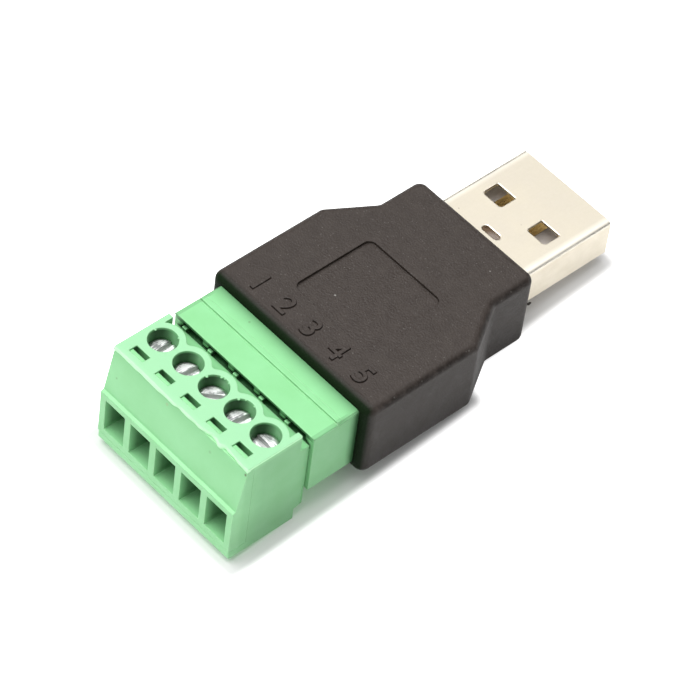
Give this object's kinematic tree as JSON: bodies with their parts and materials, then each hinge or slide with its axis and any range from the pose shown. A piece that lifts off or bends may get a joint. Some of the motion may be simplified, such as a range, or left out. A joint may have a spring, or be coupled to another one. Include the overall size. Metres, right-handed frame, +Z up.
{
  "type": "usb-a plug",
  "caption": "USB-A plug adapter with a moulded body and a pluggable screw terminal for bare wires.",
  "frame": {"origin": "middle of the bounding box on the underside of the screw terminal", "axes": "+X along the length towards the tip of the USB plug, +Y across the ways towards way 1, +Z up through the side of the driver holes"},
  "size_m": [0.0498, 0.0216, 0.0116],
  "materials": {
    "black_mould": "fine matt grain",
    "plug_steel": "nickel plated, satin",
    "pale_insulator": "satin",
    "gold_contact": "gold plated",
    "board_laminate": "glass laminate",
    "green_plastic": "satin",
    "tin_pin": "tin plated",
    "zinc_screw": "zinc plated, bright",
    "nickel_cage": "nickel plated, satin"
  },
  "bodies": {
    "adapter": {"overmould": "black_mould", "usb_shell": "plug_steel", "usb_tongue": "pale_insulator", "circuit_board": "board_laminate", "header_housing": "green_plastic", "usb_contact_1": "gold_contact", "usb_contact_2": "gold_contact", "usb_contact_3": "gold_contact", "usb_contact_4": "gold_contact", "header_pin_1": "tin_pin", "header_pin_2": "tin_pin", "header_pin_3": "tin_pin", "header_pin_4": "tin_pin", "header_pin_5": "tin_pin"},
    "terminal": {"plug_housing": "green_plastic", "wire_cover": "green_plastic", "contact_fork_1": "tin_pin", "contact_fork_2": "tin_pin", "contact_fork_3": "tin_pin", "contact_fork_4": "tin_pin", "contact_fork_5": "tin_pin"},
    "screw_1": {"clamp_screw_1": "zinc_screw"},
    "cage_1": {"wire_cage_1": "nickel_cage"},
    "screw_2": {"clamp_screw_2": "zinc_screw"},
    "cage_2": {"wire_cage_2": "nickel_cage"},
    "screw_3": {"clamp_screw_3": "zinc_screw"},
    "cage_3": {"wire_cage_3": "nickel_cage"},
    "screw_4": {"clamp_screw_4": "zinc_screw"},
    "cage_4": {"wire_cage_4": "nickel_cage"},
    "screw_5": {"clamp_screw_5": "zinc_screw"},
    "cage_5": {"wire_cage_5": "nickel_cage"}
  },
  "joints": [
    {"name": "terminal_slide", "type": "slide", "parent": "adapter", "child": "terminal", "axis": [-1, 0, 0], "range_m": [0, 0.009]},
    {"name": "screw_turn_1", "type": "hinge", "parent": "terminal", "child": "screw_1", "pos_m": [-0.01975, 0.007, 0.01035], "axis": [0, 0, -1], "range_deg": [0, 2240]},
    {"name": "cage_rise_1", "type": "slide", "parent": "terminal", "child": "cage_1", "axis": [0, 0, 1], "range_m": [0, 0.00249]},
    {"name": "screw_turn_2", "type": "hinge", "parent": "terminal", "child": "screw_2", "pos_m": [-0.01975, 0.0035, 0.01035], "axis": [0, 0, -1], "range_deg": [0, 2240]},
    {"name": "cage_rise_2", "type": "slide", "parent": "terminal", "child": "cage_2", "axis": [0, 0, 1], "range_m": [0, 0.00249]},
    {"name": "screw_turn_3", "type": "hinge", "parent": "terminal", "child": "screw_3", "pos_m": [-0.01975, 0, 0.01035], "axis": [0, 0, -1], "range_deg": [0, 2240]},
    {"name": "cage_rise_3", "type": "slide", "parent": "terminal", "child": "cage_3", "axis": [0, 0, 1], "range_m": [0, 0.00249]},
    {"name": "screw_turn_4", "type": "hinge", "parent": "terminal", "child": "screw_4", "pos_m": [-0.01975, -0.0035, 0.01035], "axis": [0, 0, -1], "range_deg": [0, 2240]},
    {"name": "cage_rise_4", "type": "slide", "parent": "terminal", "child": "cage_4", "axis": [0, 0, 1], "range_m": [0, 0.00249]},
    {"name": "screw_turn_5", "type": "hinge", "parent": "terminal", "child": "screw_5", "pos_m": [-0.01975, -0.007, 0.01035], "axis": [0, 0, -1], "range_deg": [0, 2240]},
    {"name": "cage_rise_5", "type": "slide", "parent": "terminal", "child": "cage_5", "axis": [0, 0, 1], "range_m": [0, 0.00249]}
  ],
  "couplings": [
    {"joint": "screw_turn_1", "follows": "cage_rise_1", "rad_per_m": 15708},
    {"joint": "screw_turn_2", "follows": "cage_rise_2", "rad_per_m": 15708},
    {"joint": "screw_turn_3", "follows": "cage_rise_3", "rad_per_m": 15708},
    {"joint": "screw_turn_4", "follows": "cage_rise_4", "rad_per_m": 15708},
    {"joint": "screw_turn_5", "follows": "cage_rise_5", "rad_per_m": 15708}
  ]
}
